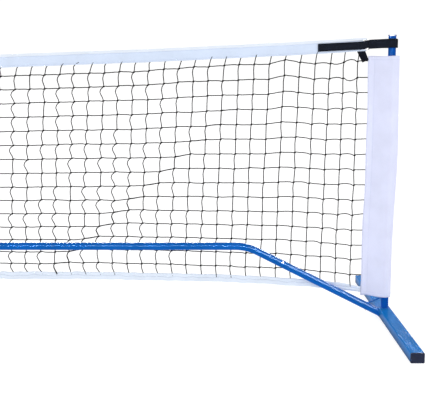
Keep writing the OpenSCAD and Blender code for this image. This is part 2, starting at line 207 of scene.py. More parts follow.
def stitches(lines, pitch=4 * MM, length=2.8 * MM, thread=0.35 * MM, lift=0.15 * MM):
    """Short rounded stitches along lines of points, each line with its outward direction.
    A stitch has three rings of four corners, and its middle ring is the thickest."""
    ring, corners = 4, 12
    points, faces = [], []
    for line, out in lines:
        line = np.asarray(line, float)
        reach = np.append(0, np.linalg.norm(np.diff(line, axis=0), axis=1).cumsum())
        starts = np.arange(pitch, reach[-1] - pitch, pitch)
        ends = [np.stack([np.interp(starts + shift, reach, line[:, i]) for i in range(3)], -1)
                for shift in (0, length / 2, length)]
        along = unit(ends[2] - ends[0])
        out = unit(np.broadcast_to(np.asarray(out, float), along.shape))
        side = np.cross(along, out)
        for place, wide, high in zip(ends, (0.5, 1, 0.5), (0, lift, 0)):
            centre = place + out * (thread * 0.3 + high)
            for a, b in ((1, 0), (0, 1), (-1, 0), (0, -1)):
                points.append(centre + thread * wide * (side * a + out * b))
    blocks = [np.stack(points[i * corners:(i + 1) * corners], 1) for i in range(len(lines))]
    start = 0
    for block in blocks:
        for first in range(start, start + len(block) * corners, corners):
            for near in (first, first + ring):
                far = near + ring
                for j in range(ring):
                    k = (j + 1) % ring
                    faces.append([near + j, near + k, far + k, far + j])
            last = first + 2 * ring
            faces += [[first + 3, first + 2, first + 1, first], [last, last + 1, last + 2, last + 3]]
        start += len(block) * corners
    return np.concatenate([block.reshape(-1, 3) for block in blocks]), faces


# ---- Materials ----


def srgb(red, green, blue):
    """A colour given as it looks on a screen, as a linear one with its alpha."""
    def linear(value):
        value /= 255
        return value / 12.92 if value <= 0.04045 else ((value + 0.055) / 1.055) ** 2.4
    return tuple(linear(v) for v in (red, green, blue)) + (1.0,)


class Nodes:
    """A material's node tree, with short ways to add and link nodes."""

    def __init__(self, name, colour, roughness, **sockets):
        self.material = bpy.data.materials.new(name)
        self.material.use_nodes = True
        self.tree = self.material.node_tree
        self.shader = self.tree.nodes["Principled BSDF"]
        self.shader.inputs["Base Color"].default_value = colour
        self.shader.inputs["Roughness"].default_value = roughness
        for socket, value in sockets.items():
            self.shader.inputs[socket.replace("_", " ")].default_value = value
        self.material.diffuse_color = colour

    def add(self, kind, inputs=None, **settings):
        node = self.tree.nodes.new("ShaderNode" + kind)
        for key, value in settings.items():
            setattr(node, key, value)
        for key, value in (inputs or {}).items():
            if isinstance(value, bpy.types.NodeSocket):
                self.tree.links.new(value, node.inputs[key])
            else:
                node.inputs[key].default_value = value
        return node

    def link(self, output, socket):
        self.tree.links.new(output, self.shader.inputs[socket])

    def coordinates(self, cloth_uv=False):
        if cloth_uv:
            return self.add("UVMap", uv_map="Cloth").outputs["UV"]
        return self.add("TexCoord").outputs["Object"]

    def noise(self, vector, scale, detail=3.0, roughness=0.5):
        return self.add("TexNoise", {"Vector": vector, "Scale": scale, "Detail": detail,
                                     "Roughness": roughness}).outputs["Fac"]

    def bands(self, vector, pitch, direction):
        """Even bands, one every pitch metres."""
        return self.add("TexWave", {"Vector": vector, "Scale": 2 * math.pi / 20 / pitch},
                        wave_type="BANDS", bands_direction=direction).outputs["Fac"]

    def math(self, operation, a, b):
        return self.add("Math", {0: a, 1: b}, operation=operation).outputs[0]

    def mapped(self, value, low, high, to_low, to_high):
        return self.add("MapRange", {"Value": value, "From Min": low, "From Max": high,
                                     "To Min": to_low, "To Max": to_high}).outputs["Result"]

    def mixed(self, factor, one, other):
        node = self.add("Mix", {0: factor}, data_type="RGBA")
        for socket, value in ((6, one), (7, other)):
            if isinstance(value, bpy.types.NodeSocket):
                self.tree.links.new(value, node.inputs[socket])
            else:
                node.inputs[socket].default_value = value
        return node.outputs[2]

    def bump(self, height, distance, strength=1.0):
        node = self.add("Bump", {"Height": height, "Distance": distance, "Strength": strength})
        self.link(node.outputs["Normal"], "Normal")


def shade(colour, factor):
    """A colour made darker or lighter."""
    return tuple(min(1.0, channel * factor) for channel in colour[:3]) + (1.0,)


BLUE_SHINE = (0.5, 0.75, 0.95, 1)
GRIME_TOP = 24 * MM  # the height up to which painted shade darkens a foot's sides, darkest at the ground


def powder_coat(name, colour, gloss=0.03, roughness=0.17, grimy_foot=False):
    """Powder coat: orange peel, a faintly uneven colour and a few pale scuffs. A foot's
    sides get painted shade, darker towards the ground."""
    n = Nodes(name, colour, roughness, IOR=1.5, Specular_IOR_Level=gloss,
              Specular_Tint=BLUE_SHINE)
    where = n.coordinates()
    cloudy = n.mapped(n.noise(where, 9), 0.35, 0.65, 0.0, 1.0)
    tint = n.mixed(cloudy, shade(colour, 0.92), shade(colour, 1.07))
    if grimy_foot:
        # Painted shade: the foot's sides darken towards the ground, where shade falls by the floor
        height = n.add("SeparateXYZ", {"Vector": where}).outputs["Z"]
        grime = n.mapped(height, 0.0, GRIME_TOP, 0.85, 0.0)
        tint = n.mixed(grime, tint, shade(colour, 0.2))
    scuffs = n.mapped(n.noise(where, 160, 5.0, 0.7), 0.68, 0.78, 0.0, 0.07)
    n.link(n.mixed(scuffs, tint, shade(colour, 1.6)), "Base Color")
    n.link(n.mapped(n.noise(where, 40), 0.3, 0.7, roughness - 0.06, roughness + 0.1), "Roughness")
    n.bump(n.noise(where, 420, 2.0), 0.00012, 0.5)
    return n.material


def moulded_plastic(name, colour, roughness=0.45, gloss=0.4):
    """Moulded plastic with a fine spark-eroded grain and lighter rubbed spots."""
    n = Nodes(name, colour, roughness, IOR=1.46, Specular_IOR_Level=gloss)
    where = n.coordinates()
    rubbed = n.mapped(n.noise(where, 55, 4.0), 0.55, 0.75, 0.0, 0.5)
    n.link(n.mixed(rubbed, colour, shade(colour, 1.7)), "Base Color")
    n.link(n.mapped(n.noise(where, 90), 0.3, 0.7, roughness - 0.08, roughness + 0.12), "Roughness")
    n.bump(n.noise(where, 1600, 2.0), 0.00006, 0.6)
    return n.material


def polished_chrome(name, bright=1.0):
    """Plated steel with faint stains. A button in shade under a tube gets painted shade: its plating
    colours are made darker.
    """
    n = Nodes(name, shade(srgb(226, 228, 232), bright), 0.12, Metallic=1.0)
    where = n.coordinates()
    stains = n.mapped(n.noise(where, 300, 4.0), 0.45, 0.7, 0.0, 1.0)
    clean, stained = shade(srgb(232, 234, 238), bright), shade(srgb(196, 198, 202), bright)
    n.link(n.mixed(stains, clean, stained), "Base Color")
    n.link(n.mapped(n.noise(where, 700), 0.3, 0.7, 0.08, 0.22), "Roughness")
    return n.material


def woven_cloth(name, colour, thread, sheen=0.15, rough=0.75, depth=0.00012):
    """A plain weave: two sets of threads that cross, uneven dye and a soft sheen."""
    n = Nodes(name, colour, rough, Sheen_Weight=sheen, Sheen_Roughness=0.4, Specular_IOR_Level=0.03)
    where = n.coordinates(cloth_uv=True)
    warp, weft = n.bands(where, thread, "X"), n.bands(where, thread, "Y")
    weave = n.math("MAXIMUM", warp, weft)
    broad = n.noise(n.coordinates(), 14, 3.0)
    dye = n.mixed(n.mapped(broad, 0.35, 0.65, 0.0, 1.0), shade(colour, 0.955), shade(colour, 1.03))
    threads = n.mapped(weave, 0.2, 1.0, 0.25, 0.0)
    n.link(n.mixed(threads, dye, shade(colour, 0.8)), "Base Color")
    n.link(n.mapped(n.noise(where, 500), 0.3, 0.7, rough - 0.08, rough + 0.1), "Roughness")
    n.bump(weave, depth, 0.6)
    return n.material


def ribbed_webbing(name, colour):
    """Nylon webbing: fine ribs across its width, crossed by rows of thread along it."""
    n = Nodes(name, colour, 0.62, Sheen_Weight=0.03, Sheen_Roughness=0.5, Specular_IOR_Level=0.004)
    where = n.coordinates(cloth_uv=True)
    ribs, rows = n.bands(where, 2.1 * MM, "X"), n.bands(where, 1.3 * MM, "Y")
    weave = n.math("MULTIPLY", n.math("ADD", ribs, 0.4), n.math("ADD", rows, 0.5))
    worn = n.mapped(n.noise(where, 120, 4.0), 0.45, 0.75, 0.0, 0.5)
    dye = n.mixed(n.mapped(weave, 0.2, 1.8, 0.0, 1.0), shade(colour, 0.7), shade(colour, 1.35))
    n.link(n.mixed(worn, dye, shade(colour, 1.7)), "Base Color")
    n.bump(weave, 0.00022, 0.8)
    return n.material


def twisted_cord(name, colour):
    """Twisted and tarred cord: slanting strands, with a paler fuzz here and there."""
    n = Nodes(name, colour, 0.7, Specular_IOR_Level=0.008)
    where = n.coordinates(cloth_uv=True)
    strand_scale = (900.0, 3.0, 0.0)  # along the cord, round it
    stretched = n.add("VectorMath", {0: where, 1: strand_scale}, operation="MULTIPLY").outputs[0]
    strands = n.add("TexWave", {"Vector": stretched, "Scale": 0.31}, wave_type="BANDS",
                    bands_direction="DIAGONAL").outputs["Fac"]
    fuzz = n.mapped(n.noise(where, 260, 3.0), 0.4, 0.7, 0.0, 0.4)
    dye = n.mixed(strands, shade(colour, 0.6), shade(colour, 1.3))
    n.link(n.mixed(fuzz, dye, shade(colour, 2.0)), "Base Color")
    n.bump(strands, 0.0003, 0.7)
    return n.material


RAIL_BLUE, POST_BLUE, FOOT_BLUE = srgb(12, 90, 174), srgb(4, 78, 166), srgb(22, 108, 180)
paints = {
    "rail_paint": powder_coat("rail_powder_coat", RAIL_BLUE),
    "post_paint": powder_coat("post_powder_coat", POST_BLUE),
    "foot_paint": powder_coat("foot_powder_coat", FOOT_BLUE, 0.007, 0.14, grimy_foot=True),
    "foot_cap_plastic": moulded_plastic("foot_cap_moulding", srgb(30, 37, 60), 0.5, 0.02),
    "post_cap_plastic": moulded_plastic("post_cap_moulding", srgb(20, 52, 112), 0.4),
    "buckle_plastic": moulded_plastic("buckle_moulding", srgb(26, 28, 40), 0.35),
    "button_chrome": polished_chrome("button_plating"),
    "spring_steel": polished_chrome("spring_strip"),
    "sleeve_fabric": woven_cloth("sleeve_cloth", srgb(217, 221, 245), 0.8 * MM),
    "tape_fabric": woven_cloth("tape_cloth", srgb(206, 219, 240), 0.7 * MM),
    "strap_webbing": ribbed_webbing("strap_nylon", srgb(14, 19, 31)),
    "net_cord": twisted_cord("net_twine", srgb(20, 18, 18)),
}
white_thread = woven_cloth("white_thread", srgb(186, 196, 222), 0.3 * MM)
low_tape_cloth = woven_cloth("low_tape_cloth", srgb(219, 229, 243), 0.7 * MM)
# Painted light: a lighter copy of the tape cloth for the round roll along the top tape's upper edge
roll_cloth = woven_cloth("tape_roll_painted_light", srgb(222, 230, 241), 0.7 * MM)
grey_thread = woven_cloth("grey_thread", srgb(150, 160, 186), 0.3 * MM)
black_thread = ribbed_webbing("black_thread", srgb(24, 26, 38))
join_cord = twisted_cord("join_twine", srgb(13, 12, 13))
# Painted shade: a darkened copy of the plating, for the buttons in shade under the stub tubes
dull_plating = polished_chrome("shaded_button_plating", 0.1)

slot_of = {row["node"]: row["material_slot"] for row in frame["record"]["subparts"]}
for node_name, cad_object in frame["nodes"].items():
    cad_object.data.materials.clear()
    # The stub buttons take the darkened plating: painted shade
    dull = node_name.startswith("stub_button")
    cad_object.data.materials.append(dull_plating if dull else paints[slot_of[node_name]])


# ---- The knotted net ----

CORD_R = 1.7 * MM
JOIN_R = 2.0 * MM
HALF_CORDS = 68  # upright cords in one half of the net
ROWS = 15  # level cords
JOIN_LOW, JOIN_HIGH = (1.005, 0.259), (0.522, 0.693)  # (u, z) where two widths of net are laced
rng = np.random.default_rng(11)


def step(low, high, value):
    """A smooth rise from 0 at low to 1 at high."""
    t = np.clip((value - low) / (high - low), 0, 1)
    return t * t * (3 - 2 * t)


def upright_u(k):
    """Where upright cord k meets the top tape. The cells near the post are pulled wider."""
    first, widened, fade = 0.105, 0.0324, 12
    pitch = (post_x - first - widened) / (HALF_CORDS - 0.5)
    return first + pitch * k + widened * (1 - np.exp(-k / fade))


def half_knots(side):
    """Knots of one half as [upright, row, (u, y, z)], with the ends inside the two tapes."""
    k = np.arange(HALF_CORDS, dtype=float)[:, None]
    # A row's share of the way down from the top tape, where both ends go into the tapes
    share = np.concatenate([[-0.012], (0.64 + np.arange(ROWS)) / (ROWS + 0.28), [1.012]])[None]
    u = upright_u(k) + 0 * share
    from_middle = 1 - step(2.2, 3.3, u)
    flare = 0.0125 * np.clip(1 - share, 0, 1) ** 1.5 * step(0, 2.5, k)
    lean = (0.007 + 0.018 * step(0.1, 1.2, u)) * share - flare
    u = u + (lean + 0.0045 * share * (1 - step(0.6, 1.1, u))) * from_middle
    pulled = step(0.3, 1.0, u) * (1 - step(2.9, 3.36, u))
    u[:, 0] -= 0.006 + 0.007 * pulled[:, 0]
    u[:, -1] -= 0.002 + 0.007 * pulled[:, -1]
    x = side * (post_x - u)
    upper, lower = smooth_height(top_low_edge, x), smooth_height(low_top_edge, x)
    z = upper - share * (upper - lower)
    fading = 1 - step(-0.1, 0.7, share)
    peak = 0.0138 * np.exp(-((u - 0.343) / 0.033) ** 2)
    shelf = 0.0085 * step(0.36, 0.44, u) * (1 - step(0.6, 0.85, u))
    shoulder = 0.006 * np.exp(-((u - 0.29) / 0.04) ** 2) * (1 - step(0.3, 0.8, share))
    ridge = 0.003 * np.exp(-((u - 0.345) / 0.05) ** 2) - 0.0012 * np.exp(-((u - 0.2) / 0.09) ** 2)
    lower_hang = 0.004 * share * step(0.4, 1.1, u)
    (low_u, low_z), (high_u, high_z) = JOIN_LOW, JOIN_HIGH
    join_u = low_u + (z - low_z) / (high_z - low_z) * (high_u - low_u)
    past_join = step(-0.02, 0.03, u - join_u) * (1 - step(1.6, 2.4, u)) * (side > 0)
    inner = (share > 0) & (share < 1)
    z = z + inner * (ridge * (1 - 0.6 * share) + (peak + shelf) * fading + shoulder + lower_hang)
    below_top, above_low = step(0.1, 0.65, share), 1 - step(0.82, 1.05, share)
    z = z - inner * 0.012 * past_join * below_top * above_low
    u = u + inner * rng.normal(0, 0.0009, u.shape)
    z = z + inner * rng.normal(0, 0.0008, u.shape)
    return np.stack([u, np.full_like(u, net_y), z], -1)


def bowed(a, b, bow, points=3, swing=0.0):
    """Points between a and b, bowed sideways by the vector bow and swung into a slight S."""
    t = (np.arange(1, points + 1) / (points + 1))[:, None]
    s_curve = np.sin(2 * math.pi * t) * swing
    a, b, bow = a[..., None, :], b[..., None, :], bow[..., None, :]
    return a * (1 - t) + b * t + bow * (np.sin(math.pi * t) + s_curve)


def upright_spans(knots):
    """The stretches of upright cord between knots: [upright, span, point, xyz]."""
    a, b = knots[:, :-1], knots[:, 1:]
    u = (a[..., 0] + b[..., 0]) / 2
    long = np.linalg.norm(b - a, axis=-1)
    slack = 0.0012 + 0.0070 * step(0.4, 1.0, u)
    bow = np.zeros_like(a)
    bow[..., 0] = slack * np.clip(long / 0.045, 0.2, 1.1) * rng.uniform(0.1, 1.45, u.shape)
    bow[..., 1] = rng.normal(0, 0.0006, u.shape)
    return bowed(a, b, bow, 4, 0.35)


def level_spans(knots):
    """The stretches of level cord between knots: [span, row, point, xyz], rows inside."""
    a, b = knots[:-1, 1:-1], knots[1:, 1:-1]
    u = (a[..., 0] + b[..., 0]) / 2
    bow = np.zeros_like(a)
    near = 1 - step(0.12, 0.42, u)
    bow[..., 2] = 0.0042 * near * rng.uniform(0.2, 1.2, u.shape) + rng.normal(0, 0.0006, u.shape)
    # The slack cells in the corner by the strap
    bow[0, 0, 2], bow[0, 1, 2], bow[1, 0, 2] = 0.0075, -0.009, -0.0045
    bow[0, 2, 2], bow[1, 1, 2], bow[1, 2, 2] = 0.004, 0.004, 0.003
    bow[..., 1] = rng.normal(0, 0.0005, u.shape)
    return bowed(a, b, bow, 3)


def knot_loops(knots):
    """Each level cord's turn and a half round each upright one: [upright, row, point, xyz]."""
    turns = np.arange(10)
    angle = math.radians(180) + math.radians(60) * turns
    reach, climb = 1.45 * CORD_R, 1.4 * MM
    loop = np.stack([reach * np.cos(angle), reach * np.sin(angle), climb * (1 - 2 * turns / 9)], -1)
    return knots[:, 1:-1, None, :] + loop


def eased_back(points):
    """Cords that pass close behind a tube or the middle pole lie a little further back."""
    away = np.abs(points[..., 2] - frame_z(points[..., 0]))
    near_tube = 1 - step(0.013, 0.036, away)
    near_pole = step(post_x - 0.036, post_x - 0.013, points[..., 0])
    points[..., 1] += 3.8 * MM * np.maximum(near_tube, near_pole)
    return points


def net_half(name, side):
    """One half of the net. Its level cords start inside the sleeve and end at the middle."""
    knots = half_knots(side)
    uprights, levels, loops = upright_spans(knots), level_spans(knots), knot_loops(knots)
    pieces = []
    columns = np.concatenate([knots[:, :-1, None], uprights], 2).reshape(HALF_CORDS, -1, 3)
    columns = np.concatenate([columns, knots[:, -1:]], 1)
    points, faces, uv = tubes(eased_back(columns), CORD_R)
    pieces.append(add_piece(f"net_uprights_{name}", on_side(points, side), outward(faces, side),
                            paints["net_cord"], uv))
    inside_sleeve_u = 0.060
    start = knots[0, 1:-1].copy()
    start[:, 0] = inside_sleeve_u
    start[:, 2] += rng.normal(0, 0.002, ROWS)
    lead = bowed(start, knots[0, 1:-1], np.array([0, 0, 0.001]) + 0 * start, 2)
    cells = np.concatenate([loops[:-1], levels], 2).transpose(1, 0, 2, 3).reshape(ROWS, -1, 3)
    end = knots[-1, 1:-1].copy()
    end[:, 0] = post_x
    rows = np.concatenate([start[:, None], lead, cells, loops[-1], end[:, None]], 1)
    points, faces, uv = tubes(eased_back(rows), CORD_R)
    pieces.append(add_piece(f"net_levels_{name}", on_side(points, side), outward(faces, side),
                            paints["net_cord"], uv))
    for piece in pieces:
        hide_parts("net_mesh")
    return knots, uprights, levels


def join_line(knots, uprights, levels):
    """A second cord that laces two widths of net together, stepping up from the bottom tape."""
    k, row, top_row = 20, ROWS + 1, 4
    path = [knots[k, row]]
    while row > top_row:
        path += list(uprights[k, row - 1][::-1]) + [knots[k, row - 1]]
        row -= 1
        path += list(levels[k - 1, row - 1][::-1]) + [knots[k - 1, row]]
        k -= 1
    path = np.array(path)
    wind = np.arange(len(path)) * 1.9  # it twists round the net's own cords
    path[:, 1] -= 2.6 * MM + 0.4 * MM * np.sin(wind)
    path[:, 2] += 0.5 * MM * np.cos(wind)
    points, faces, uv = tubes(eased_back(path)[None], JOIN_R, 6)
    piece = add_piece("net_join_cord", on_side(points, 1), outward(faces, 1), join_cord, uv)
    return piece


right_net = net_half("right", 1)
net_half("left", -1)
join_line(*right_net)


# ---- Tapes ----


def tape_grid(profile, edge, sign, pitch):
    """A tape's cloth: its cross-section, in mm from the fold, run along the net."""
    half = post_x - sleeve_u
    x = np.linspace(-half, half, int(2 * half / pitch))
    fold = smooth_height(edge, x)
    profile = np.array(profile) * MM
    ripple = 0.0005 * np.sin(x * 41) + 0.0004 * np.sin(x * 97 + 1.3) + 0.0006 * np.sin(x * 13.7 + 0.5)
    grid = np.empty((len(x), len(profile), 3))
    grid[..., 0] = x[:, None]
    grid[..., 1] = net_y + profile[:, 0]
    grid[..., 2] = fold[:, None] + sign * profile[:, 1] + 0.5 * ripple[:, None]
    return x, grid, ripple


def seam_line(grid, profile, height, out):
    """A row of stitching along a tape, at one height of its profile, in front or behind."""
    at = [i for i, (y, z) in enumerate(profile) if abs(z - height) < 0.01 and y * out > 0][0]
    line = grid[:, at].copy()
    line[:, 1] += out * 0.45 * MM
    return line, (0, out, 0)


TAPE_T = 0.7 * MM
top_h = float(top_edge[1][0] - top_low_edge[1][0]) / MM
low_h = float(low_top_edge[1][0] - low_edge[1][0]) / MM


def top_tape():
    """The top tape: two layers of cloth, sewn into a roll along the upper edge."""
    half = [(-1.25, top_h), (-1.5, top_h - 2.5), (-1.35, top_h - 4), (-1.0, top_h - 5),
            (-1.35, top_h - 6.2), (-1.7, top_h - 9), (-1.9, top_h - 17), (-1.7, top_h - 25),
            (-1.3, 11.5), (-1.0, 10), (-1.6, 8.5), (-2.5, 6.5), (-2.8, 4.2), (-2.3, 1.8), (-1.1, 0.3)]
    profile = half + [(0, 0)] + [(-y, z) for y, z in reversed(half)]
    x, grid, ripple = tape_grid(profile, top_edge, -1, 8 * MM)
    bulge = np.interp(np.array(profile)[:, 1], [0, 5, 12, 22, top_h], [0.1, 0.4, 0.2, 1, 0.7])
    front = np.sign(np.array(profile)[:, 0])
    grid[..., 1] += ripple[:, None] * bulge * 0.8 + front * bulge * 0.0003 * np.sin(x * 131)[:, None]
    points, faces, uv = cloth(grid, TAPE_T)
    piece = add_piece("top_tape_cloth", points, faces, paints["tape_fabric"], uv)
    piece.data.materials.append(roll_cloth)
    # The roll's faces take the lighter copy of the tape cloth: painted light on the roll's round top
    seam_z = 10
    roll = [i for i, (y, z) in enumerate(profile) if z < seam_z]
    for face in piece.data.polygons:
        columns = [v % len(profile) for v in face.vertices]
        if min(columns) >= roll[0] and max(columns) <= roll[-1]:
            face.material_index = 1
    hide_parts("top_tape")
    seams = ((top_h - 5, -1), (seam_z, -1), (top_h - 5, 1), (seam_z, 1))
    points, faces = stitches([seam_line(grid, profile, height, out) for height, out in seams])
    seam = add_piece("top_tape_stitching", points, faces, white_thread,
                     np.asarray(points)[:, [0, 2]])


def bottom_tape():
    """The bottom tape, which dips between the upright cords that are tied into it."""
    seam_z = low_h - 11.5
    half = [(-1.25, low_h), (-1.5, low_h - 2), (-1.6, low_h - 5), (-1.35, low_h - 9.5),
            (-0.8, seam_z), (-1.35, low_h - 13.5), (-1.8, low_h - 17), (-1.9, 3.6), (-1.1, 0.6)]
    profile = half + [(0, 0)] + [(-y, z) for y, z in reversed(half)]
    x, grid, ripple = tape_grid(profile, low_edge, 1, 6 * MM)
    heights = np.array(profile)[:, 1] / low_h
    cell = np.interp(post_x - np.abs(x), upright_u(np.arange(HALF_CORDS)), np.arange(HALF_CORDS))
    scallop = 0.0013 * np.cos(2 * math.pi * cell) + 0.0009 * np.sin(2 * math.pi * cell * 0.37 + 1)
    scallop = scallop + 0.8 * ripple
    grid[..., 2] += scallop[:, None] * np.interp(heights, [0, 0.5, 1], [0.35, 1, 0.25])
    gathered = 0.26 * (1 - step(0.085, 0.16, post_x - np.abs(x)))
    grid[..., 2] -= gathered[:, None] * heights * low_h * MM
    pinch = 0.0006 * np.cos(2 * math.pi * cell + 0.6)[:, None] * np.sin(math.pi * heights)
    grid[..., 1] += ripple[:, None] * 0.7 + pinch * np.sign(np.array(profile)[:, 0])
    points, faces, uv = cloth(grid, TAPE_T)
    piece = add_piece("bottom_tape_cloth", points, faces, low_tape_cloth, uv)
    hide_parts("bottom_tape")
    lines = [seam_line(grid, profile, seam_z, out) for out in (-1, 1)]
    points, faces = stitches(lines, thread=0.5 * MM)
    seam = add_piece("bottom_tape_stitching", points, faces, grey_thread,
                     np.asarray(points)[:, [0, 2]])


# ---- Sleeves ----


def tangent_u_y(radius, tip, sign):
    """Where a line from tip touches a circle round the post, and the angle of that point."""
    reach, heading = math.hypot(*tip), math.atan2(tip[1], tip[0])
    angle = heading + sign * math.acos(radius / reach)
    return radius * math.cos(angle), radius * math.sin(angle), angle


def wrap_outline(radius, tip, flat_u, gap, count=76, shift=0.0):
    """A band round the post, as (u, y) points: in along the front, round, and back behind.
    The band's round part lies a distance shift outwards of the post's axis."""
    tip, flat_u = (tip[0] + shift, tip[1]), flat_u + shift
    front = tangent_u_y(radius, (tip[0], tip[1] - gap), -1)
    back = tangent_u_y(radius, (tip[0], tip[1] + gap), 1)
    turns = np.linspace(front[2], back[2] - 2 * math.pi, 28)
    arc = np.stack([np.cos(turns), np.sin(turns)], -1) * radius
    line = [(flat_u, tip[1] - gap), (tip[0], tip[1] - gap), *arc.tolist(),
            (tip[0], tip[1] + gap), (flat_u, tip[1] + gap)]
    line = np.array(line)
    reach = np.append(0, np.linalg.norm(np.diff(line, axis=0), axis=1).cumsum())
    at = np.linspace(0, reach[-1], count)
    outline = np.stack([np.interp(at, reach, line[:, i]) for i in range(2)], -1)
    return outline - np.array([shift, 0]), at


def sleeve(name, side):
    """The sleeve: close to the post at its foot, looser and pushed outwards higher up."""
    seam_u, cloth_t, gap = 0.060, 0.8 * MM, 1.6 * MM
    low_r, high_r = 17.6 * MM, 19.3 * MM
    pushed_out, drawn_in = 5.5 * MM, 7 * MM
    bulge, bulge_z, bulge_reach = 3.5 * MM, 0.56, 0.19
    hem_row = 2
    low_line, _ = wrap_outline(low_r, (seam_u, net_y), sleeve_u, gap)
    high_line, at = wrap_outline(high_r, (seam_u - pushed_out, net_y), sleeve_u - drawn_in, gap,
                                 shift=pushed_out)
    z = np.linspace(sleeve_low, sleeve_high, 134)
    rise = (0.1 + 0.9 * step(0.2, 0.58, z))[:, None, None]
    grid = np.empty((len(z), len(at), 3))
    grid[..., :2] = low_line * (1 - rise) + high_line * rise
    grid[..., 2] = z[:, None]
    u, y = grid[..., 0].copy(), low_line[:, 1]
    loose = step(0, 0.02, u[:, :1] - u) * (0.35 + 0.65 * step(-0.004, 0.03, u))
    s, h = at[None], z[:, None]
    folds = (0.9 * np.sin(19 * h + 34 * s + 0.4) + 0.6 * np.sin(43 * h - 61 * s + 2.1)
             + 0.45 * np.sin(88 * s + 7 * h) + 0.35 * np.sin(71 * h + 120 * s))
    grid[..., 1] += np.where(y < net_y, -1.0, 1.0) * np.abs(folds) * loose * 0.8 * MM
    grid[..., 0] += 0.0009 * np.sin(23 * h + 1.1) * step(0.05, 0.075, u)
    grid[..., 0] -= bulge * np.exp(-((h - bulge_z) / bulge_reach) ** 2) * (1 - step(-0.02, 0.03, u))
    hem_dip = 0.0011 * np.sin(at * 62 + 0.7)
    grid[..., 2] += hem_dip * (1 - step(0, 0.05, z - sleeve_low))[:, None]
    grid[..., 2] += 0.7 * hem_dip[::-1] * (1 - step(0, 0.05, sleeve_high - z))[:, None]
    u = low_line[:, 0]
    points, faces, uv = cloth(grid, cloth_t)
    piece = add_piece(f"sleeve_{name}_cloth", on_side(points, side), outward(faces, side),
                      paints["sleeve_fabric"], uv)
    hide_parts(f"sleeve_{name}")
    lines = []
    for column_u in (seam_u, sleeve_u - 3.5 * MM):
        for out in (-1, 1):
            rows = np.where(np.sign(y - net_y) == out)[0]
            column = rows[np.argmin(np.abs(u[rows] - column_u))]
            line = grid[hem_row:-hem_row, column].copy()
            line[:, 1] += out * 0.5 * MM
            lines.append((on_side(line, side), (0, out, 0)))
    for row in (hem_row, len(z) - 1 - hem_row):
        line, away = grid[row], unit(np.stack([np.gradient(y), -np.gradient(u), 0 * u], -1))
        keep = slice(2, len(u) - 2)
        sign = 1 if (away[len(u) // 2, 0] < 0) else -1
        away = away * sign
        placed = on_side(line + away * 0.5 * MM, side)[keep]
        away[:, 0] *= -side
        reach = np.append(0, np.linalg.norm(np.diff(placed, axis=0), axis=1).cumsum())
        starts = np.arange(4 * MM, reach[-1] - 4 * MM, 4 * MM)
        out_at = np.stack([np.interp(starts, reach, away[keep, i]) for i in range(3)], -1)
        lines.append((placed, out_at))
    points, faces = stitches(lines)
    seam = add_piece(f"sleeve_{name}_stitching", points, faces, white_thread,
                     np.asarray(points)[:, [0, 2]])


# ---- Straps ----

STRAP_W, STRAP_T = 25 * MM, 1.5 * MM
SPACING = 2.5 * MM  # between the points along a strap
UPRIGHT = np.array([0.0, 0.0, 1.0])


def ribbon(path, across, width, thickness, columns=9, crown=0.12 * MM):
    """A strip of webbing along a path, lying across a direction given for each point."""
    path, across = np.asarray(path, float), unit(np.asarray(across, float))
    share = np.linspace(-0.5, 0.5, columns)
    grid = path[:, None] + across[:, None] * (share * width)[None, :, None]
    along = unit(np.gradient(path, axis=0))
    normal = unit(np.cross(along, across))
    grid = grid + normal[:, None] * (crown * (1 - (2 * share) ** 2))[None, :, None]
    points, faces, uv = cloth(grid, thickness)
    return points, faces, uv[:, ::-1]


def resample(line, spacing):
    """A line's points, evenly spaced along it."""
    line = np.asarray(line, float)
    reach = np.append(0, np.linalg.norm(np.diff(line, axis=0), axis=1).cumsum())
    at = np.linspace(0, reach[-1], max(3, int(reach[-1] / spacing)))
    return np.stack([np.interp(at, reach, line[:, i]) for i in range(line.shape[1])], -1)


def softened(line, passes=3):
    """A line with its corners rounded off."""
    for _ in range(passes):
        line[1:-1] = (line[:-2] + 2 * line[1:-1] + line[2:]) / 4
    return line


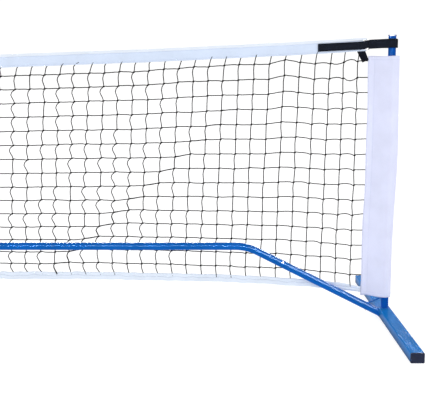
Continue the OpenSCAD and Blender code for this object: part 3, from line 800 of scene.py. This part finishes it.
def strap(name, side):
    """The webbing: sewn to the tape's front, over the buckle, round the post and back."""
    loop_z = strap_top - 14 * MM
    tip = (0.066, 0.0103)
    sewn_from_u = 0.104
    flat_y = net_y - 4.3 * MM
    sewn_z = [loop_z - 8 * MM, loop_z - 15 * MM]
    loop_r, slack = tube_r + 2.0 * MM, 1.8 * MM
    front = tangent_u_y(loop_r, (0.070, tip[1] - 2.2 * MM), -1)
    back = tangent_u_y(loop_r, tip, 1)
    turns = np.linspace(front[2], back[2] - 2 * math.pi, 30)
    arc = [(loop_r * math.cos(a) - slack, loop_r * math.sin(a), loop_z + 1 * MM) for a in turns]
    sewn = [(strap_end_u, flat_y, sewn_z[1]), (sewn_from_u, flat_y, sewn_z[0]),
            (0.095, tip[1] - 1.6 * MM, sewn_z[0] + 1 * MM),
            (0.083, tip[1] - 2.2 * MM, loop_z - 4.5 * MM),
            (0.070, tip[1] - 2.2 * MM, loop_z - 1.5 * MM)]
    rear = [(tip[0] - 1 * MM, tip[1] + 0.5 * MM, loop_z - 1 * MM),
            (0.0705, net_y + 3 * MM, loop_z - 2 * MM),
            (0.077, net_y + 4.2 * MM, loop_z - 2.5 * MM),
            (0.116, net_y + 4.4 * MM, loop_z - 4 * MM)]
    path = softened(resample(sewn + arc + rear, SPACING), 2)
    points, faces, uv = ribbon(path, np.tile(UPRIGHT, (len(path), 1)), STRAP_W, STRAP_T)
    piece = add_piece(f"strap_{name}_webbing", on_side(points, side), outward(faces, side),
                      paints["strap_webbing"], uv)
    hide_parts(f"strap_{name}")

    turns = np.linspace(front[2] - 0.1, back[2] - 2 * math.pi + 0.1, 26)
    second_r = loop_r + STRAP_T + 0.25 * MM
    second_z = loop_z - 1.8 * MM
    arc = [(second_r * math.cos(a) - slack, second_r * math.sin(a), second_z) for a in turns]
    outer = [(0.074, tip[1] - 4.4 * MM, loop_z - 5 * MM), *arc,
             (0.060, tip[1] + 4 * MM, loop_z - 3 * MM)]
    outer = softened(resample(outer, SPACING), 2)
    wider = STRAP_W + 2 * MM
    points, faces, uv = ribbon(outer, np.tile(UPRIGHT, (len(outer), 1)), wider, STRAP_T)
    layer = add_piece(f"strap_{name}_second_turn", on_side(points, side), outward(faces, side),
                      paints["strap_webbing"], uv)

    tail = [(0.105, net_y + 3.6 * MM, 0.9065), (0.0975, net_y + 4.4 * MM, 0.8855),
            (0.089, net_y + 5.6 * MM, 0.8675), (0.081, net_y + 5.0 * MM, 0.8505)]
    tail = softened(resample(tail, SPACING), 3)
    twist = np.linspace(0.15, 0.75, len(tail))[:, None]
    backwards = np.array([0.0, 1.0, 0.0])
    flat = unit(np.cross(unit(np.gradient(tail, axis=0)), backwards))
    across = flat * np.cos(twist) + backwards * np.sin(twist)
    points, faces, uv = ribbon(tail, across, STRAP_W, STRAP_T)
    end = add_piece(f"strap_{name}_free_end", on_side(points, side), outward(faces, side),
                    paints["strap_webbing"], uv)

    def sewn_point(u, z):
        drop = (sewn_z[0] - sewn_z[1]) * (u - sewn_from_u) / (strap_end_u - sewn_from_u)
        return (u, flat_y - STRAP_T / 2 - 0.25 * MM, sewn_z[0] - drop + z)

    # A sewn box with a cross in it, and a row along either edge
    near, far, reach = strap_end_u - 0.034, strap_end_u - 0.005, 9 * MM
    box = [(far, -reach), (far, reach), (near, reach), (near, -reach), (far, -reach)]
    cross = [[(far, -reach), (near, reach)], [(far, reach), (near, -reach)]]
    edges = [[(near - 3 * MM, v), (0.112, v)] for v in (-reach - 1 * MM, reach + 1 * MM)]
    lines = []
    for shape in [box, *cross, *edges]:
        line = resample(np.array([sewn_point(*p) for p in shape]), 1.5 * MM)
        lines.append((on_side(line, side), (0, -1, 0)))
    points, faces = stitches(lines, pitch=3.2 * MM, length=2.3 * MM)
    seam = add_piece(f"strap_{name}_stitching", points, faces, black_thread,
                     np.asarray(points)[:, [0, 2]])


# ---- Pocket of the middle pole ----


def pole_pocket():
    """The pocket: a patch sewn to the tape's front, round the middle pole's top."""
    low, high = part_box("middle_pocket")
    pole_r = size("middle_pole").x / 2
    top = float(smooth_height(top_edge, np.array([0.0]))[0]) - 3 * MM
    half_w, flat_y = (high.x - low.x) / 2, net_y - 3.6 * MM
    bulge_r = pole_r + 2.2 * MM
    crease_x = bulge_r + 9 * MM
    spacing = 2 * MM
    _, _, first_angle = tangent_u_y(bulge_r, (crease_x, flat_y), -1)
    turns = np.linspace(first_angle, -math.pi - first_angle, 30)
    arc = [(bulge_r * math.cos(a), bulge_r * math.sin(a)) for a in turns]
    outline = resample([(half_w, flat_y), (crease_x, flat_y), *arc,
                        (-crease_x, flat_y), (-half_w, flat_y)], spacing)
    z = np.concatenate([np.linspace(low.z, 0.848, 24), np.linspace(0.850, top, 10)])
    full = 1 - step(0.8545, top, z)  # the pocket closes above the pole
    grid = np.empty((len(z), len(outline), 3))
    grid[..., 0] = outline[:, 0]
    grid[..., 1] = flat_y + (outline[:, 1] - flat_y) * (0.02 + 0.98 * full)[:, None]
    grid[..., 2] = z[:, None]
    wrinkle = 0.0005 * np.sin(z * 170)[:, None] * step(0, 0.01, flat_y - outline[:, 1])
    grid[..., 1] -= wrinkle * full[:, None]
    points, faces, uv = cloth(grid, 0.8 * MM)
    piece = add_piece("middle_pocket_cloth", points, outward(faces, 1), paints["sleeve_fabric"], uv)
    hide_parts("middle_pocket")
    ends, seam_y, hem_y, hem_z = [], flat_y - 0.5 * MM, flat_y - 0.6 * MM, top - 3 * MM
    for x in (-half_w + 4 * MM, -crease_x - 2 * MM, crease_x + 2 * MM, half_w - 4 * MM):
        ends.append([(x, seam_y, low.z + 2 * MM), (x, seam_y, top - 2 * MM)])
    ends.append([(-half_w, hem_y, hem_z), (half_w, hem_y, hem_z)])
    points, faces = stitches([(resample(pair, spacing), (0, -1, 0)) for pair in ends])
    seam = add_piece("middle_pocket_stitching", points, faces, white_thread,
                     np.asarray(points)[:, [0, 2]])


# ---- Welds ----


TURN = np.linspace(0, 2 * math.pi, 60)


def weld(name, paths, material, radius=1.7 * MM):
    """Beads of weld with small overlapping ripples, painted over."""
    points, faces, uv, start = [], [], [], 0
    for path in paths:
        line = resample(path, 0.9 * MM)
        ripple = radius * (1 + 0.16 * np.abs(np.sin(np.arange(len(line)) * 0.9)))
        p, f, w = tubes(line[None], ripple[None], 7)
        points.append(p)
        faces += [[i + start for i in face] for face in f]
        uv.append(w)
        start += len(p)
    return add_piece(name, np.concatenate(points), faces, material, np.concatenate(uv))


def end_welds(name, side):
    """The welds round the post, round the stub where it meets the foot, and at both ends of
    the brace, where a bead follows the cut of one tube through another."""
    ring = tube_r + 0.4 * MM
    round_post = np.stack([ring * np.cos(TURN), ring * np.sin(TURN),
                           foot_h + 0 * TURN + 0.4 * MM], -1)
    axis_z, floor_gap = float(frame_z(foot_half_w)), 2.2 * MM
    ring = tube_r + 0.3 * MM
    at_foot = np.stack([foot_half_w + 0.5 * MM + 0 * TURN, ring * np.cos(TURN),
                        np.maximum(axis_z + ring / math.cos(SLOPE) * np.sin(TURN), floor_gap)], -1)
    toe_u, top_z = 55 * MM, 66 * MM  # the ends of the brace's axis
    toe_z = float(frame_z(toe_u)) + tube_r / math.cos(SLOPE)
    rise = math.atan2(top_z - toe_z, toe_u - tube_r)
    bead = size(f"brace_{name}").y / 2 + 0.2 * MM
    y, up = bead * np.cos(TURN), bead * np.sin(TURN)
    saddle = np.sqrt(ring ** 2 - y ** 2)
    u, z = tube_r + up * math.sin(rise), top_z + up * math.cos(rise)
    run = (u - saddle) / math.cos(rise)
    at_post = np.stack([saddle, y, z + run * math.sin(rise)], -1)
    u, z = toe_u + up * math.sin(rise), toe_z + up * math.cos(rise)
    run = (saddle - (z - frame_z(u)) * math.cos(SLOPE)) / math.sin(rise + SLOPE)
    at_stub = np.stack([u - run * math.cos(rise), y, z + run * math.sin(rise)], -1)
    paths = [on_side(path, side) for path in (round_post, at_foot, at_post, at_stub)]
    weld(f"welds_{name}", paths, paints["rail_paint"], 1.3 * MM)


def middle_welds():
    """The welds round the middle leg's foot, and above and below the coupler."""
    ring = tube_r + 0.4 * MM
    x, y = ring * np.cos(TURN), ring * np.sin(TURN)
    saddle = np.sqrt(np.maximum(tube_r ** 2 - np.minimum(np.abs(y), tube_r) ** 2, 0))
    paths = [np.stack([x, y, foot_h + 0.4 * MM + 0 * x], -1),
             np.stack([x, y, rail_h - saddle - 0.5 * MM], -1),
             np.stack([x, y, rail_h + saddle + 0.5 * MM], -1)]
    weld("welds_middle", paths, paints["post_paint"])


top_tape()
bottom_tape()
for side_name, side_sign in SIDES:
    sleeve(side_name, side_sign)
    strap(side_name, side_sign)
    end_welds(side_name, side_sign)
pole_pocket()
middle_welds()


# ---- Floor, light and camera ----


def floor():
    """A pale floor that glows a little, so that shadows on it stay faint."""
    darker, usual, lighter = (0.37, 0.37, 0.375, 1), (0.38, 0.38, 0.385, 1), (0.39, 0.39, 0.395, 1)
    n = Nodes("pale_floor", usual, 0.95, Specular_IOR_Level=0.0,
              Emission_Color=(1, 1, 1, 1), Emission_Strength=0.76)
    n.link(n.mixed(n.noise(n.coordinates(), 0.6), darker, lighter), "Base Color")
    reach = 60
    mesh = bpy.data.meshes.new("floor")
    mesh.from_pydata([(-reach, -reach, 0), (reach, -reach, 0), (reach, reach, 0), (-reach, reach, 0)],
                     [], [(0, 1, 2, 3)])
    mesh.materials.append(n.material)
    plane = bpy.data.objects.new("floor", mesh)
    bpy.context.scene.collection.objects.link(plane)


def highlight(name, place, aim, wide, high, radiance):
    """A soft light that is only seen in glossy surfaces, with the given size and radiance."""
    light = bpy.data.lights.new(name, "AREA")
    light.shape, light.size, light.size_y = "RECTANGLE", wide, high
    light.energy = radiance * wide * high * math.pi
    lamp = bpy.data.objects.new(name, light)
    lamp.location = place
    lamp.rotation_euler = (Vector(aim) - Vector(place)).to_track_quat("-Z", "Y").to_euler()
    lamp.visible_diffuse = False
    bpy.context.scene.collection.objects.link(lamp)


def white_surround():
    """Even white light from all sides."""
    world = bpy.data.worlds.new("studio")
    world.use_nodes = True
    background = world.node_tree.nodes["Background"]
    background.inputs["Color"].default_value = (1, 1, 1, 1)
    background.inputs["Strength"].default_value = 1.065
    bpy.context.scene.world = world


floor()
white_surround()
at_rails = (0, 0, 0.25)
highlight("front_highlight", (0, -4.5, 2.1), at_rails, wide=10, high=1.4, radiance=150)
highlight("rear_highlight", (0, 4.5, 2.7), at_rails, wide=10, high=0.7, radiance=110)
for end in (-1, 1):
    at_slope, beyond_end = (end * 3.2, 0, 0.12), end * 6.7
    highlight("front_end_highlight", (beyond_end, -4.2, 3.9), at_slope, 3, 2.2, 330)
    highlight("rear_end_highlight", (beyond_end, 4.2, 3.9), at_slope, 3, 0.6, 200)

inwards, distance, eye_height, tilt_down = 0.563, 2.70, 0.786, 8.2
camera_data = bpy.data.cameras.new("camera")
camera_data.lens, camera_data.sensor_width = 68.2, 36
camera = bpy.data.objects.new("camera", camera_data)
camera.location = (post_x - inwards, -distance, eye_height)
camera.rotation_euler = (math.radians(90 - tilt_down), 0, 0)
bpy.context.scene.collection.objects.link(camera)
bpy.context.scene.camera = camera
bpy.context.scene.view_settings.view_transform = "Standard"
